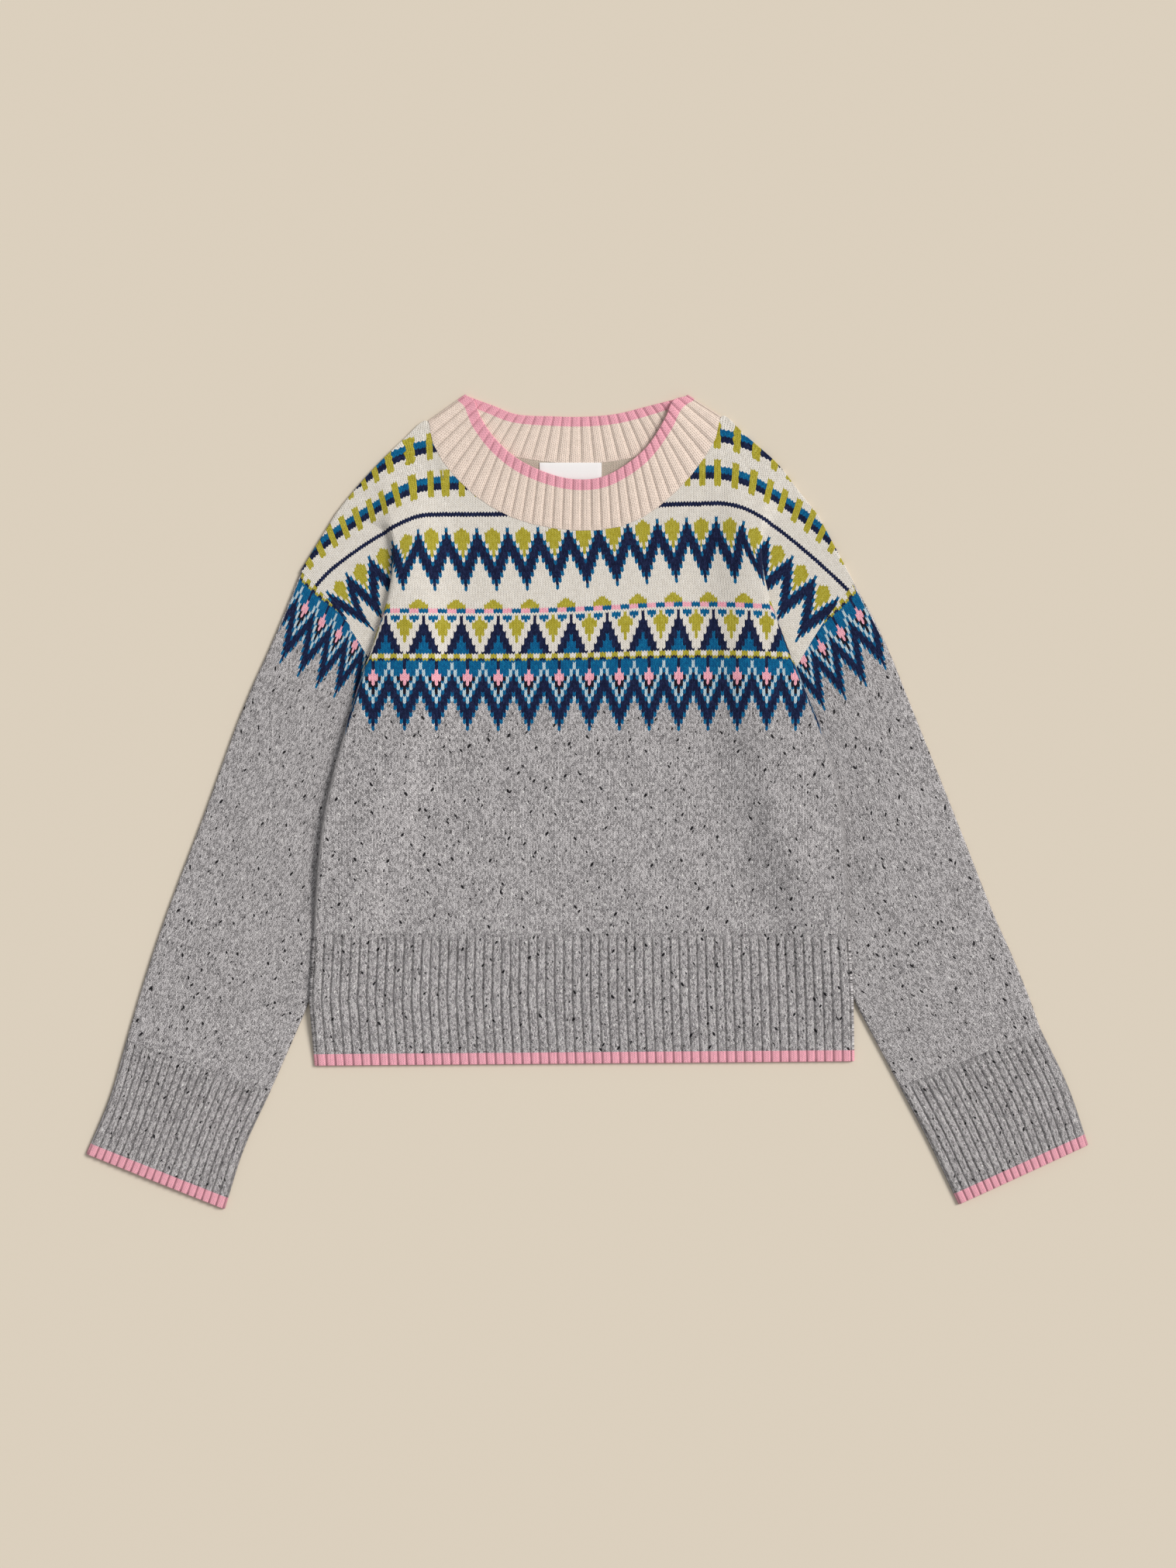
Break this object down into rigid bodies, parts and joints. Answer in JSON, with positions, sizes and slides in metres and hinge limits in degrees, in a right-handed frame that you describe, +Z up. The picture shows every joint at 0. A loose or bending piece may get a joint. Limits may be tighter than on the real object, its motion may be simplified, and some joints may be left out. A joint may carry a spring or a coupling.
{
  "type": "fair isle jumper",
  "caption": "Long-sleeved crew-neck knitted jumper with a patterned yoke, ribbed neckband, cuffs and hem, laid flat with its front up.",
  "frame": {"origin": "on the floor under the middle of the jumper's outline", "axes": "+Z up from the floor through the front, +Y towards the neck, +X towards the wearer's left sleeve, which is the right one as seen"},
  "size_m": [0.9038, 0.7348, 0.012],
  "materials": {
    "body_knit": "patterned wool knit, cream and teal above a grey marl",
    "sleeve_knit": "grey marl wool knit with dark and white flecks",
    "rib_knit": "grey marl rib with a pink edge",
    "neck_rib": "oatmeal rib with a pink edge",
    "label": "smooth woven tape"
  },
  "bodies": {
    "root": {"front": "body_knit", "back": "body_knit", "hem_front": "rib_knit", "hem_back": "rib_knit", "neckband": "neck_rib", "sleeve_left": "sleeve_knit", "sleeve_right": "sleeve_knit", "cuff_left": "rib_knit", "cuff_right": "rib_knit", "neck_label": "label", "size_tab": "label"}
  },
  "joints": []
}
